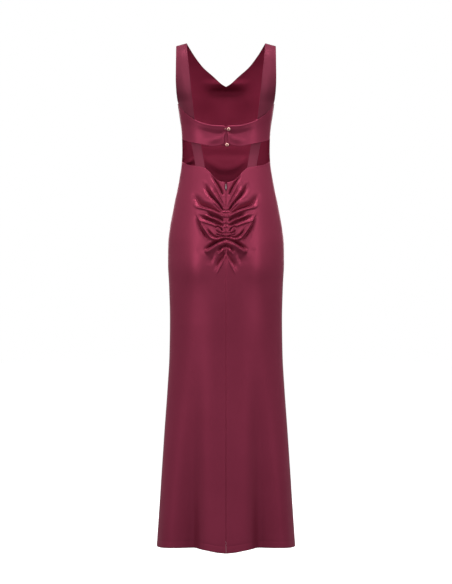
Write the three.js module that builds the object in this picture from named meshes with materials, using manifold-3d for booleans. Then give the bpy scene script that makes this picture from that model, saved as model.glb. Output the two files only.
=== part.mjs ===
// A sleeveless satin maxi dress, filled out as it is worn: V neck, wide straps, open back with a
// buttoned band, side and back cut-outs, and a flared skirt gathered along the centre back seam.
// Millimetres, +Z up. The front of the dress faces -Y, the back +Y, and +X is the wearer's left.
// The origin is midway between the tops of the two shoulder straps, where a wearer holds it up.
import * as THREE from "three";
import { mergeVertices } from "three/addons/utils/BufferGeometryUtils.js";
import Module from "manifold-3d";

const wasm = await Module();
wasm.setup();

// ---- driving sizes -------------------------------------------------------------------------
const CLOTH = 1.5; // wall of the front and the skirt
const DOUBLE = 1.8; // wall of the bagged-out band and straps
const SEAM = 0.3; // gap left between two pieces at a seam
const UNDER = 2.6; // how far a strap lies inside the piece that it is sewn behind
const LAP = 13; // how far a strap runs on behind an edge
const SQUARE_FRONT = 2.4; // superellipse power of the front half of a section
const SQUARE_BACK = 2.2;
const STRAP_IN = 113.7; // half the distance between the straps' inner top corners
const STRAP_OUT = 144.4; // and between their outer top corners
const SHOULDER_DROP = 8.3; // the outer corner lies this much lower
const V_DEPTH = -116; // bottom of the V neck
const UNDERARM = -176.5; // bottom of the armhole, top of the side seam
const BAND_SIDE = -279.5; // lower edge of the back band at the side seam
const SKIRT_SIDE = -343; // upper edge of the back skirt at the side seam
const HEM = -1457;

// Sections of the dress: half width of the front half and of the back half, and how far the front
// and the back stand from the side seams.
const SECTIONS = [
  { z: 0, halfFront: 182, halfBack: 192, front: 0, back: 0 },
  { z: -3, halfFront: 181, halfBack: 191, front: 14, back: 15 },
  { z: -8, halfFront: 180, halfBack: 190, front: 25, back: 27 },
  { z: -15, halfFront: 177, halfBack: 188, front: 36, back: 38 },
  { z: -25, halfFront: 173, halfBack: 186, front: 48, back: 49 },
  { z: -40, halfFront: 166, halfBack: 183, front: 62, back: 61 },
  { z: -60, halfFront: 158, halfBack: 178, front: 80, back: 71 },
  { z: -85, halfFront: 151, halfBack: 174, front: 95, back: 79 },
  { z: -115, halfFront: 146, halfBack: 166, front: 109, back: 86 },
  { z: -145, halfFront: 142.5, halfBack: 155, front: 117, back: 90 },
  { z: -176.5, halfFront: 139.3, halfBack: 139.3, front: 119, back: 91 },
  { z: -212, halfFront: 133.9, halfBack: 133.9, front: 116, back: 86 },
  { z: -247, halfFront: 129.2, halfBack: 129.2, front: 109, back: 79 },
  { z: -282, halfFront: 127.4, halfBack: 127.4, front: 100, back: 75 },
  { z: -317, halfFront: 127, halfBack: 127, front: 91, back: 74 },
  { z: -352, halfFront: 129, halfBack: 129, front: 84.5, back: 80 },
  { z: -387, halfFront: 134, halfBack: 134, front: 83.5, back: 93 },
  { z: -421, halfFront: 140.3, halfBack: 140.3, front: 87, back: 107 },
  { z: -456, halfFront: 147.8, halfBack: 147.8, front: 92, back: 119 },
  { z: -491, halfFront: 154.6, halfBack: 154.6, front: 96, back: 127 },
  { z: -537, halfFront: 163, halfBack: 163, front: 99.5, back: 133 },
  { z: -584, halfFront: 167.8, halfBack: 167.8, front: 101, back: 138.5 },
  { z: -640, halfFront: 168.2, halfBack: 168.2, front: 101, back: 141.5 },
  { z: -700, halfFront: 165.2, halfBack: 165.2, front: 100, back: 140 },
  { z: -800, halfFront: 162.6, halfBack: 162.6, front: 99, back: 136 },
  { z: -900, halfFront: 164, halfBack: 164, front: 100, back: 133 },
  { z: -1000, halfFront: 169.6, halfBack: 169.6, front: 104, back: 132.5 },
  { z: -1117, halfFront: 178, halfBack: 178, front: 112, back: 134.5 },
  { z: -1233, halfFront: 185.8, halfBack: 185.8, front: 122, back: 138 },
  { z: -1349, halfFront: 193.6, halfBack: 193.6, front: 134, back: 143 },
  { z: -1457, halfFront: 201, halfBack: 201, front: 145, back: 149 },
];

// Edges of the pieces, for the wearer's left half; the right half mirrors them.
const NECK = [
  { x: STRAP_IN, z: 0 },
  { x: 90.7, z: -34.4 },
  { x: 66.7, z: -63.4 },
  { x: 42.1, z: -84.2 },
  { x: 17.7, z: -104 },
  { x: 0, z: V_DEPTH },
];
const ARMHOLE_FRONT = [
  { x: STRAP_OUT, z: -SHOULDER_DROP },
  { x: 138.5, z: -30 },
  { x: 131.5, z: -60 },
  { x: 127, z: -92 },
  { x: 126.2, z: -120 },
  { x: 128.6, z: -141 },
  { x: 132.3, z: -156 },
  { x: 136.2, z: -167.5 },
  { x: 138.8, z: -174.5 },
  { x: 139.3, z: UNDERARM },
];
const STRAP_OUTER = [
  { z: -SHOULDER_DROP, x: STRAP_OUT },
  { z: -60, x: 144.6 },
  { z: -108, x: 145 },
  { z: -143, x: 143.6 },
  { z: -160, x: 141.8 },
  { z: -170, x: 140.3 },
  { z: -178, x: 137.6 },
  { z: -188, x: 134.2 },
  { z: -200, x: 131 },
];
const STRAP_INNER = [
  { z: 0, x: STRAP_IN },
  { z: -47, x: 109.7 },
  { z: -86.6, x: 104.5 },
  { z: -144.9, x: 97.9 },
  { z: -202.5, x: 91 },
  { z: -250, x: 86 },
];
const BAND_TOP = [
  { x: 0, z: -248.2 },
  { x: 7.8, z: -244.6 },
  { x: 36.4, z: -243 },
  { x: 65, z: -236.7 },
  { x: 89, z: -226.4 },
  { x: 108.3, z: -213 },
  { x: 125.3, z: -197.6 },
  { x: 136, z: -181 },
  { x: 139.3, z: UNDERARM },
];
const BAND_BOTTOM = [
  { x: 0, z: -296.6 },
  { x: 8, z: -297.2 },
  { x: 17.2, z: -299.6 },
  { x: 28, z: -302.2 },
  { x: 40.2, z: -302.8 },
  { x: 71.8, z: -297 },
  { x: 103.7, z: -289.9 },
  { x: 120, z: -284 },
  { x: 127.4, z: BAND_SIDE },
];
// Half the gap between the two ends of the band, which the two buttons hold together.
const BAND_END = [
  { z: -240, x: 1.2 },
  { z: -258, x: 1.5 },
  { z: -266, x: 3 },
  { z: -276, x: 5.2 },
  { z: -290, x: 6.2 },
  { z: -305, x: 5.6 },
];
const STAND_BOTTOM = -301.6;
const SKIRT_TOP = [
  { x: 0, z: -407.2 },
  { x: 19, z: -403 },
  { x: 36.2, z: -389.6 },
  { x: 49.5, z: -374.2 },
  { x: 62.1, z: -364.4 },
  { x: 90, z: -358.2 },
  { x: 110, z: -354.4 },
  { x: 125, z: -346 },
  { x: 129, z: SKIRT_SIDE },
];
const HEM_LINE = [
  { x: 0, z: HEM - 6.5 },
  { x: 24, z: HEM - 4.5 },
  { x: 58, z: HEM + 1 },
  { x: 103, z: HEM + 6 },
  { x: 150, z: HEM + 3.5 },
  { x: 185, z: HEM + 1 },
  { x: 202, z: HEM },
];

// Largest folds of the gathered centre back seam, each a soft trough (low) or ridge (high) along
// a bent line from the seam out over the hip: three points, reach at its two ends, and height.
const GATHERS = [
  { x0: 9, z0: -484, x1: 38, z1: -448, x2: 61, z2: -402, near: 7, far: 9, high: -4 },
  { x0: 9, z0: -500, x1: 62, z1: -488, x2: 96, z2: -458, near: 6, far: 9, high: 4 },
  { x0: 9, z0: -494, x1: 70, z1: -476, x2: 97, z2: -432, near: 6, far: 12, high: -5 },
  { x0: 9, z0: -524, x1: 42, z1: -507, x2: 76, z2: -498, near: 7, far: 7, high: -5 },
  { x0: 9, z0: -534, x1: 66, z1: -532, x2: 88, z2: -496, near: 7, far: 8, high: 4 },
  { x0: 8, z0: -563, x1: 34, z1: -572, x2: 56, z2: -540, near: 7, far: 7, high: -4 },
  { x0: 5, z0: -573, x1: 30, z1: -582, x2: 64, z2: -603, near: 8, far: 8, high: -6 },
  { x0: 9, z0: -586, x1: 30, z1: -594, x2: 58, z2: -612, near: 8, far: 9, high: 5 },
  { x0: 2, z0: -614, x1: 14, z1: -632, x2: 30, z2: -660, near: 8, far: 14, high: -3 },
];
const LOWER_STRAP = { top: -281, bottom: -372.5, half: 14 };
const SEAM_DIP = { top: -452, bottom: -650, reach: 16, depth: 7 };

// Flutes of the flared hem: where round the section (x as a share of the half width), the reach
// in the same shares, the height at the hem, and the height above which each has died out.
const FLUTES_BACK = [
  { at: 0, reach: 0.24, high: 9, start: -850 },
  { at: 0.56, reach: 0.17, high: -38, start: -800 },
  { at: 0.82, reach: 0.1, high: 7, start: -950 },
];
const FLUTES_FRONT = [
  { at: 0, reach: 0.2, high: -16, start: -900 },
  { at: 0.42, reach: 0.15, high: 14, start: -850 },
  { at: 0.72, reach: 0.13, high: -22, start: -900 },
];
// Fullness given by the bust darts, the roll of the neckline at the point of the V, and the soft
// fold that hangs under it.
const BUST = { x: 70, z: -205, reach: 46, high: 9 };
const V_ROLL = { z: -108, reach: 13, half: 60, high: -5 };
const V_FOLD = { z: -134, above: 9, below: 26, half: 50, high: 5 };

// ---- curves --------------------------------------------------------------------------------
// A smooth curve without overshoot through a table's points (monotone cubic).
function curve(table, along, value) {
  const rows = [...table].sort((p, q) => p[along] - q[along]);
  const x = rows.map((r) => r[along]),
    y = rows.map((r) => r[value]),
    n = x.length;
  const slope = [],
    m = [];
  for (let i = 0; i < n - 1; i++)
    slope.push((y[i + 1] - y[i]) / (x[i + 1] - x[i]));
  m.push(slope[0]);
  for (let i = 1; i < n - 1; i++) {
    const [a, b] = [slope[i - 1], slope[i]];
    m.push(a * b <= 0 ? 0 : (2 * a * b) / (a + b));
  }
  m.push(slope[n - 2]);
  return (t) => {
    const v = Math.min(Math.max(t, x[0]), x[n - 1]);
    let i = 0;
    while (i < n - 2 && v > x[i + 1]) i++;
    const h = x[i + 1] - x[i],
      s = (v - x[i]) / h;
    return (
      (1 + 2 * s) * (1 - s) ** 2 * y[i] +
      s * (1 - s) ** 2 * h * m[i] +
      s * s * (3 - 2 * s) * y[i + 1] +
      s * s * (s - 1) * h * m[i + 1]
    );
  };
}
const smooth = (lo, hi, t) => {
  const s = Math.min(Math.max((t - lo) / (hi - lo), 0), 1);
  return s * s * (3 - 2 * s);
};
// The point at a share of the length of a polyline of {x, z}.
function along(table) {
  const fine = [];
  const byIndex = table.map((r, i) => ({ i, ...r }));
  const fx = curve(byIndex, "i", "x"),
    fz = curve(byIndex, "i", "z");
  const N = 12 * (table.length - 1);
  let total = 0;
  for (let k = 0; k <= N; k++) {
    const p = { x: fx((k / N) * (table.length - 1)), z: fz((k / N) * (table.length - 1)) };
    if (k) total += Math.hypot(p.x - fine[k - 1].x, p.z - fine[k - 1].z);
    fine.push({ ...p, at: total });
  }
  const x = curve(fine, "at", "x"),
    z = curve(fine, "at", "z");
  return (share) => ({ x: x(share * total), z: z(share * total) });
}

// ---- the form ------------------------------------------------------------------------------
const sizeOf = {};
for (const k of ["halfFront", "halfBack", "front", "back"])
  sizeOf[k] = curve(SECTIONS, "z", k);
const side = {
  front: { half: sizeOf.halfFront, deep: sizeOf.front, power: SQUARE_FRONT, sign: -1 },
  back: { half: sizeOf.halfBack, deep: sizeOf.back, power: SQUARE_BACK, sign: 1 },
};
// The shoulder line slopes down outwards, and the slope dies out by the underarm.
const heightOn = (x, z) =>
  Math.min(
    0,
    z +
      (SHOULDER_DROP * Math.max(0, Math.abs(x) - STRAP_IN)) /
        (STRAP_OUT - STRAP_IN) *
        smooth(-150, -40, z),
  );
function depthAt(which, x, z) {
  const { half, deep, power } = side[which];
  const h = heightOn(x, z);
  const r = Math.min(Math.abs(x) / half(h), 1);
  return deep(h) * (1 - r ** power) ** (1 / power);
}
// Outward normal of the smooth form at x, y, z.
function normalAt(which, p) {
  const { half, deep, power } = side[which];
  const g = (x, y, z) => {
    const h = Math.min(heightOn(x, z), -0.4);
    return (
      (Math.abs(x) / half(h)) ** power + (Math.abs(y) / Math.max(deep(h), 4)) ** power
    );
  };
  const e = 0.5;
  return new THREE.Vector3(
    g(p.x + e, p.y, p.z) - g(p.x - e, p.y, p.z),
    g(p.x, p.y + e, p.z) - g(p.x, p.y - e, p.z),
    g(p.x, p.y, p.z + e) - g(p.x, p.y, p.z - e),
  ).normalize();
}
function gatherHeight(x, z) {
  x = Math.abs(x);
  let sum = 0;
  for (const g of GATHERS) {
    let best = Infinity,
      at = 0;
    for (let k = 0; k <= 16; k++) {
      const t = k / 16,
        a = (1 - t) ** 2,
        b = 2 * t * (1 - t),
        c = t * t;
      const d = Math.hypot(
        a * g.x0 + b * g.x1 + c * g.x2 - x,
        a * g.z0 + b * g.z1 + c * g.z2 - z,
      );
      if (d < best) [best, at] = [d, t];
    }
    const reach = g.near + (g.far - g.near) * at;
    sum += g.high * (1 - at ** 2) * Math.exp(-((best / reach) ** 2));
  }
  const s = SEAM_DIP;
  const on =
    smooth(s.bottom, s.bottom + 70, z) * (1 - smooth(s.top - 45, s.top, z));
  return sum - s.depth * on * Math.exp(-((x / s.reach) ** 2));
}
function fluteHeight(which, x, z) {
  const share = Math.abs(x) / side[which].half(z);
  let sum = 0;
  for (const f of which === "back" ? FLUTES_BACK : FLUTES_FRONT) {
    const grow = Math.min(Math.max((f.start - z) / (f.start - HEM), 0), 1) ** 1.6;
    sum += f.high * grow * Math.exp(-(((share - f.at) / f.reach) ** 2));
  }
  return sum * (1 - smooth(0.9, 1, share));
}
// A point of the dress's outside, moved out by lift along the form's normal.
function place(which, x, z, lift = 0) {
  const s = side[which].sign;
  const base = new THREE.Vector3(x, s * depthAt(which, x, z), z);
  let out = lift;
  if (which === "back" && z < -380) out += gatherHeight(x, z) + fluteHeight("back", x, z);
  if (which === "front") {
    if (z < -700) out += fluteHeight("front", x, z);
    out +=
      BUST.high *
      Math.exp(
        -(((Math.abs(x) - BUST.x) ** 2 + (z - BUST.z) ** 2) / BUST.reach ** 2),
      );
    out +=
      V_FOLD.high *
      Math.exp(-(((z - V_FOLD.z) / (z > V_FOLD.z ? V_FOLD.above : V_FOLD.below)) ** 2)) *
      Math.exp(-((x / V_FOLD.half) ** 4));
    out +=
      V_ROLL.high *
      Math.exp(-(((z - V_ROLL.z) / V_ROLL.reach) ** 2)) *
      Math.exp(-((x / V_ROLL.half) ** 4));
  }
  if (out) base.addScaledVector(normalAt(which, base), out);
  base.y += (s * SEAM) / 2;
  return base;
}

// ---- cloth ---------------------------------------------------------------------------------
// A closed wall from an open sheet: rows of points on its outside. Rows may be shared by sheets
// that meet without a seam; edges used once get a rim.
function wall(sheets, thick) {
  const points = [],
    index = new Map(),
    faces = [];
  const id = (p) => {
    const key = [p.x, p.y, p.z].map((v) => Math.round(v * 500)).join();
    if (!index.has(key)) {
      index.set(key, points.length);
      points.push(p.clone());
    }
    return index.get(key);
  };
  for (const rows of sheets) {
    const ids = rows.map((r) => r.map(id));
    for (let j = 0; j + 1 < ids.length; j++)
      for (let i = 0; i + 1 < ids[j].length; i++) {
        const [a, b, c, d] = [ids[j][i], ids[j][i + 1], ids[j + 1][i + 1], ids[j + 1][i]];
        const pa = points[a],
          pc = points[c];
        const shortAC =
          pa.distanceTo(pc) <= points[b].distanceTo(points[d]);
        const two = shortAC
          ? [[a, b, c], [a, c, d]]
          : [[a, b, d], [b, c, d]];
        for (const f of two)
          if (new Set(f).size === 3) faces.push(f);
      }
  }
  const cross = (f) => {
    const [a, b, c] = f.map((k) => points[k]);
    return new THREE.Vector3().crossVectors(
      b.clone().sub(a),
      c.clone().sub(a),
    );
  };
  const normals = points.map(() => new THREE.Vector3());
  for (const f of faces) {
    const n = cross(f);
    const mid = points[f[0]];
    // outward is away from the dress's upright axis, and up at the shoulders
    if (n.dot(new THREE.Vector3(mid.x * 0.25, mid.y, 0)) < 0) {
      f.reverse();
      n.negate();
    }
    for (const k of f) normals[k].add(n);
  }
  normals.forEach((n, k) => {
    n.normalize();
    const p = points[k];
    if (Math.abs(p.y) < SEAM) n.y = 0; // side and shoulder seams
    if (Math.abs(p.x) < 8 && p.y > 0 && p.z < SKIRT_TOP[0].z + 2 && centreSeam(p))
      n.x = 0;
    n.normalize();
  });
  const inner = points.map((p, k) => p.clone().addScaledVector(normals[k], -thick));
  const n = points.length,
    edges = new Map(),
    tris = [];
  for (const f of faces) {
    tris.push(...f, f[2] + n, f[1] + n, f[0] + n);
    for (let k = 0; k < 3; k++) {
      const [a, b] = [f[k], f[(k + 1) % 3]];
      const key = a < b ? `${a},${b}` : `${b},${a}`;
      if (edges.has(key)) edges.set(key, null);
      else edges.set(key, [a, b]);
    }
  }
  for (const e of edges.values())
    if (e) tris.push(e[1], e[0], e[0] + n, e[1], e[0] + n, e[1] + n);
  const geometry = new THREE.BufferGeometry();
  geometry.setAttribute(
    "position",
    new THREE.Float32BufferAttribute(
      [...points, ...inner].flatMap((p) => [p.x, p.y, p.z]),
      3,
    ),
  );
  geometry.setIndex(tris);
  geometry.computeVertexNormals();
  return geometry;
}
const NOTCH = { top: -409, bottom: -437, half: 1.5 }; // where the seam opens for the zip slider
const notchAt = (z) =>
  NOTCH.half * smooth(NOTCH.bottom, NOTCH.bottom + 5, z) * (1 - smooth(NOTCH.top, NOTCH.top + 2, z));
const centreSeam = (p) => Math.abs(p.x) <= SEAM / 2 + notchAt(p.z) + 0.05;

const across = (count, ease = 1) =>
  Array.from({ length: count + 1 }, (_, i) => (i / count) ** ease);
const mirror = (rows) => rows.map((r) => r.map((p) => new THREE.Vector3(-p.x, p.y, p.z)));
// Share of the half width at column u: 1 at the side seam, 0 at the centre.
const shareAt = (which, u) =>
  Math.max(Math.cos((Math.PI / 2) * u), 0) ** (2 / side[which].power);

// Front: shoulder to hem in one piece, with no seam down the middle.
function frontRows() {
  const neck = along(NECK),
    arm = along(ARMHOLE_FRONT);
  const columns = across(9);
  const rows = [];
  const row = (o, i) =>
    columns.map((u) => {
      const c = shareAt("front", u);
      return place("front", o.x * c + i.x * (1 - c), o.z * c + i.z * (1 - c));
    });
  for (const v of [0, 0.02, 0.05, 0.1, 0.18, 0.28, 0.4, 0.52, 0.63, 0.73, 0.82, 0.9, 0.96, 1])
    rows.push(row(arm(v), neck(v)));
  const down = [
    0.02, 0.045, 0.07, 0.1, 0.13, 0.165, 0.2, 0.24, 0.28, 0.325, 0.375, 0.43,
    0.49, 0.55, 0.61, 0.67, 0.73, 0.79, 0.85, 0.9, 0.95, 1,
  ];
  for (const w of down) {
    const zo = UNDERARM + (HEM - UNDERARM) * w,
      zi = V_DEPTH + (HEM + 2 - V_DEPTH) * w;
    rows.push(
      columns.map((u) => {
        const c = shareAt("front", u),
          z = zo * c + zi * (1 - c);
        return place("front", side.front.half(z) * c, z);
      }),
    );
  }
  return rows;
}

// Back skirt, one half: from the cut-out's edge to the hem, side seam to centre seam.
function skirtRows() {
  const top = curve(SKIRT_TOP, "x", "z"),
    hem = curve(HEM_LINE, "x", "z");
  const columns = [
    0, 0.1, 0.21, 0.32, 0.42, 0.52, 0.61, 0.69, 0.76, 0.82, 0.88, 0.93, 0.97, 1,
  ];
  const levels = [];
  for (let k = 0; k < 32; k++) levels.push((k / 32) * 0.262);
  levels.push(0.262, 0.29, 0.33, 0.38, 0.44, 0.5, 0.57, 0.64, 0.71, 0.78, 0.85, 0.92, 1);
  return levels.map((w) =>
    columns.map((u) => {
      const c = shareAt("back", u);
      let x = 150 * c,
        z = -400;
      for (let k = 0; k < 12; k++) {
        z = top(x) + (hem(x) - top(x)) * w;
        x = side.back.half(z) * c;
      }
      return place("back", u === 1 ? SEAM / 2 + notchAt(z) : Math.max(x, 2.4), z);
    }),
  );
}

// Back band, one half: side seam to its buttoned end.
function bandRows() {
  const top = curve(BAND_TOP, "x", "z"),
    bottom = curve(BAND_BOTTOM, "x", "z"),
    end = curve(BAND_END, "z", "x");
  return across(5).map((w) =>
    across(12).map((u) => {
      const c = shareAt("back", u);
      let x = 130 * c,
        z = -250;
      for (let k = 0; k < 12; k++) {
        z = top(x) + (bottom(x) - top(x)) * w;
        x = end(z) + (side.back.half(z) - end(z)) * c;
      }
      return place("back", x, z);
    }),
  );
}

// Shoulder strap, back half: from the shoulder seam to its end behind the band.
function strapRows() {
  const outer = curve(STRAP_OUTER, "z", "x"),
    inner = curve(STRAP_INNER, "z", "x");
  const zo = (v) => -SHOULDER_DROP + (-197 + SHOULDER_DROP) * v,
    zi = (v) => (-226.8 - LAP) * v;
  const band = curve(BAND_TOP, "x", "z");
  const sunk = (x, z) => -UNDER * (1 - smooth(3, 40, z - band(x)));
  return [0, 0.012, 0.035, 0.07, 0.12, 0.2, 0.3, 0.4, 0.5, 0.6, 0.7, 0.8, 0.9, 1].map((v) =>
    across(5).map((s) => {
      const a = { x: outer(zo(v)), z: zo(v) },
        b = { x: inner(zi(v)), z: zi(v) };
      const x = a.x + (b.x - a.x) * s,
        z = a.z + (b.z - a.z) * s;
      return place("back", x, z, sunk(x, z));
    }),
  );
}

// Lower strap: from behind the band's lower edge to behind the skirt's upper edge.
function lowerStrapRows() {
  const at = curve(
    [
      { z: -280, x: 91 },
      { z: -293, x: 88 },
      { z: -362, x: 76 },
      { z: -376, x: 74 },
    ],
    "z",
    "x",
  );
  return across(11).map((v) => {
    const z = LOWER_STRAP.top + (LOWER_STRAP.bottom - LOWER_STRAP.top) * v;
    return across(3).map((s) =>
      place("back", at(z) + LOWER_STRAP.half * (1 - 2 * s), z, -UNDER),
    );
  });
}

// Button stand: the underlap of the right half, which shows between the band's two ends.
function standRows() {
  const top = curve(BAND_TOP, "x", "z");
  return across(4).map((w) =>
    across(6).map((s) => {
      const x = -13 + 25 * s,
        hi = top(Math.abs(x)) - 3.5,
        lo = STAND_BOTTOM;
      return place("back", x, hi + (lo - hi) * w, -UNDER);
    }),
  );
}

// Zip tape: the strip that the slider runs on, inside the skirt down to the gathers.
function tapeRows() {
  return across(8).map((w) =>
    across(4).map((s) => place("back", -10 + 20 * s, -411 - 64 * w, -CLOTH - 1.6)),
  );
}

// ---- hard pieces ---------------------------------------------------------------------------
function solid(geometry) {
  const g = geometry.clone();
  g.deleteAttribute("normal");
  g.deleteAttribute("uv");
  const m = mergeVertices(g.index ? g.toNonIndexed() : g, 1e-3);
  return new wasm.Manifold(
    new wasm.Mesh({
      numProp: 3,
      vertProperties: m.attributes.position.array,
      triVerts: new Uint32Array(m.index.array),
    }),
  );
}
function geometryOf(made) {
  const m = made.getMesh();
  const g = new THREE.BufferGeometry();
  g.setAttribute("position", new THREE.BufferAttribute(m.vertProperties, 3));
  g.setIndex(new THREE.BufferAttribute(m.triVerts, 1));
  g.computeVertexNormals();
  return g;
}
const boxAt = (w, d, h, x, y, z) => new THREE.BoxGeometry(w, d, h).translate(x, y, z);

// The slider's frame: on the seam, +Y out of the cloth and +Z up along it.
const SLIDER_Z = -417;
const seamPoint = (z) => new THREE.Vector3(0, place("back", 0, z).y, z);
const tilt = (() => {
  const a = seamPoint(SLIDER_Z + 6),
    b = seamPoint(SLIDER_Z - 10);
  return Math.atan2(b.y - a.y, a.z - b.z);
})();
const PLATE = { wide: 3.8, long: 8.4, thick: 0.9, gap: 0.3 };
const ARCH = { wide: 1.4, rise: 2.6, open: 1.6, leg: 1.1, bar: 1 };
const PULL = { wide: 4.4, long: 13.6, thick: 0.9, eye: 2.4, eyeLong: 3.4, bar: 0.9 };
const plateTop = PLATE.gap + PLATE.thick;
const hinge = new THREE.Vector3(0, plateTop + 0.75, 1);

function sliderGeometry() {
  let made = solid(boxAt(PLATE.wide, PLATE.thick, PLATE.long, 0, PLATE.gap + PLATE.thick / 2, 0));
  made = made.add(solid(boxAt(1.6, 2.4, 5, 0, PLATE.gap + 0.2 - 1.2, 0))); // stem through the seam
  const legZ = 1.2 + ARCH.leg / 2;
  for (const s of [-1, 1])
    made = made.add(
      solid(boxAt(ARCH.wide, ARCH.rise, ARCH.leg, 0, plateTop + ARCH.rise / 2 - 0.1, hinge.z + s * legZ)),
    );
  made = made.add(
    solid(
      boxAt(ARCH.wide, ARCH.bar, 2 * legZ + ARCH.leg, 0, plateTop + ARCH.rise - 0.1 - ARCH.bar / 2, hinge.z),
    ),
  );
  return geometryOf(made);
}
function pullGeometry() {
  const shape = new THREE.Shape();
  const r = PULL.wide / 2,
    top = PULL.bar / 2,
    bottom = top - PULL.long;
  shape.moveTo(-1.65, top);
  shape.lineTo(-1.65, top - 3.6);
  shape.lineTo(-r, bottom + r + 1.2);
  shape.absarc(0, bottom + r, r, Math.PI, 2 * Math.PI, false);
  shape.lineTo(1.65, top - 3.6);
  shape.lineTo(1.65, top);
  shape.closePath();
  const eye = new THREE.Path();
  eye.moveTo(-1.1, top - PULL.bar);
  eye.lineTo(1.1, top - PULL.bar);
  eye.lineTo(1.1, top - PULL.bar - PULL.eyeLong + 0.6);
  eye.lineTo(0.6, top - PULL.bar - PULL.eyeLong);
  eye.lineTo(-0.6, top - PULL.bar - PULL.eyeLong);
  eye.lineTo(-1.1, top - PULL.bar - PULL.eyeLong + 0.6);
  eye.closePath();
  shape.holes.push(eye);
  return new THREE.ExtrudeGeometry(shape, {
    depth: PULL.thick,
    bevelEnabled: false,
    curveSegments: 10,
  })
    .translate(0, 0, -PULL.thick / 2)
    .rotateX(Math.PI / 2)
    .translate(hinge.x, hinge.y, hinge.z);
}

// A domed button on a shank, its axis along +Y, its foot at y = 0.
const BUTTON = { radius: 5.1, shank: 1.5 };
function buttonGeometry(lift) {
  const r = BUTTON.radius;
  const profile = [
    [0, 0],
    [BUTTON.shank, 0],
    [BUTTON.shank, lift],
    [r * 0.72, lift + 0.1],
    [r * 0.95, lift + 0.7],
    [r, lift + 1.5],
    [r * 0.93, lift + 2.6],
    [r * 0.72, lift + 3.5],
    [r * 0.4, lift + 4.1],
    [0, lift + 4.3],
  ].map(([a, b]) => new THREE.Vector2(a, b));
  return new THREE.LatheGeometry(profile, 20);
}
// A button loop: a cord from the left end of the band round the shank and back.
const LOOP = { thick: 1.3, sides: 6, steps: 22 };
function loopGeometry(button, from, lift, spread, rise) {
  const path = [
    [from, spread + rise],
    [(from + button.x) / 2, spread + 0.3 + rise / 3],
    [button.x, 2.9],
    [button.x - 2.1, 2.1],
    [button.x - 3, 0],
    [button.x - 2.1, -2.1],
    [button.x, -2.9],
    [(from + button.x) / 2, -spread - 0.3 + rise / 3],
    [from, -spread + rise],
  ].map(([x, dz]) => place("back", x, button.z + dz, lift));
  const section = new THREE.Shape();
  for (let k = 0; k < LOOP.sides; k++) {
    const a = (k / LOOP.sides) * 2 * Math.PI;
    const [x, y] = [(LOOP.thick / 2) * Math.cos(a), (LOOP.thick / 2) * Math.sin(a)];
    if (k) section.lineTo(x, y);
    else section.moveTo(x, y);
  }
  section.closePath();
  return new THREE.ExtrudeGeometry(section, {
    steps: LOOP.steps,
    extrudePath: new THREE.CatmullRomCurve3(path),
    bevelEnabled: false,
  });
}

// ---- the dress -----------------------------------------------------------------------------
const satin = new THREE.MeshStandardMaterial({ color: 0x7d2a41, roughness: 0.42, metalness: 0 });
const satinDouble = new THREE.MeshStandardMaterial({ color: 0x7a2840, roughness: 0.45, metalness: 0 });
const tapeCloth = new THREE.MeshStandardMaterial({ color: 0x5a1b2e, roughness: 0.8, metalness: 0 });
const gold = new THREE.MeshStandardMaterial({ color: 0xd9a06a, roughness: 0.22, metalness: 1 });
const zipMetal = new THREE.MeshStandardMaterial({ color: 0xc9b2b4, roughness: 0.3, metalness: 0.9 });

const dress = new THREE.Group();
function add(name, geometry, material, parent = dress) {
  const mesh = new THREE.Mesh(geometry, material);
  mesh.name = name;
  parent.add(mesh);
  return mesh;
}
function seated(point, lean) {
  const group = new THREE.Group();
  group.position.copy(point);
  group.rotation.x = lean;
  dress.add(group);
  return group;
}

const front = frontRows();
add("front", wall([front, mirror(front)], CLOTH), satin);
for (const [hand, flip] of [["left", (r) => r], ["right", mirror]]) {
  add(`skirt_back_${hand}`, wall([flip(skirtRows())], CLOTH), satin);
  add(`back_band_${hand}`, wall([flip(bandRows())], DOUBLE), satinDouble);
  add(`shoulder_strap_${hand}`, wall([flip(strapRows())], DOUBLE), satinDouble);
  add(`lower_strap_${hand}`, wall([flip(lowerStrapRows())], DOUBLE), satinDouble);
}
add("button_stand", wall([standRows()], CLOTH), satinDouble);
add("zip_tape", wall([tapeRows()], 1), tapeCloth);

const slider = seated(seamPoint(SLIDER_Z), tilt);
add("zip_slider", sliderGeometry(), zipMetal, slider);
add("zip_pull", pullGeometry(), zipMetal, slider);

const lean = (x, z) => {
  const a = place("back", x, z + 5),
    b = place("back", x, z - 5);
  return Math.atan2(b.y - a.y, a.z - b.z);
};
const UPPER_BUTTON = { x: -7.4, z: -254.2 },
  LOWER_BUTTON = { x: -2.9, z: -299 };
const upperSeat = seated(place("back", UPPER_BUTTON.x, UPPER_BUTTON.z, 0.3), lean(UPPER_BUTTON.x, UPPER_BUTTON.z));
add("button_upper", buttonGeometry(2.2), gold, upperSeat);
const lowerSeat = seated(
  place("back", LOWER_BUTTON.x, LOWER_BUTTON.z, 0.35 - UNDER),
  lean(LOWER_BUTTON.x, LOWER_BUTTON.z),
);
add("button_lower", buttonGeometry(2.2 + UNDER), gold, lowerSeat);
add("loop_upper", loopGeometry(UPPER_BUTTON, 3.4, 1.25, 2.6, 0), satinDouble);
add("loop_lower", loopGeometry(LOWER_BUTTON, 8.6, 1.25, 1.9, 5.2), satinDouble);
const beadSeat = seated(place("back", 3, UPPER_BUTTON.z, 1.7), 0);
add("loop_bead", new THREE.SphereGeometry(1.3, 12, 8), gold, beadSeat);

export default dress;
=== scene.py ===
# The looks of a long satin dress, built around its imported frame: thin cloth on the form of each
# solid, with gathers, folds, turned edges and seams put in, and soft studio light.
# Lengths are in millimetres, as in the tables of the solid model, and turn into metres in mesh().
import math

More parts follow.
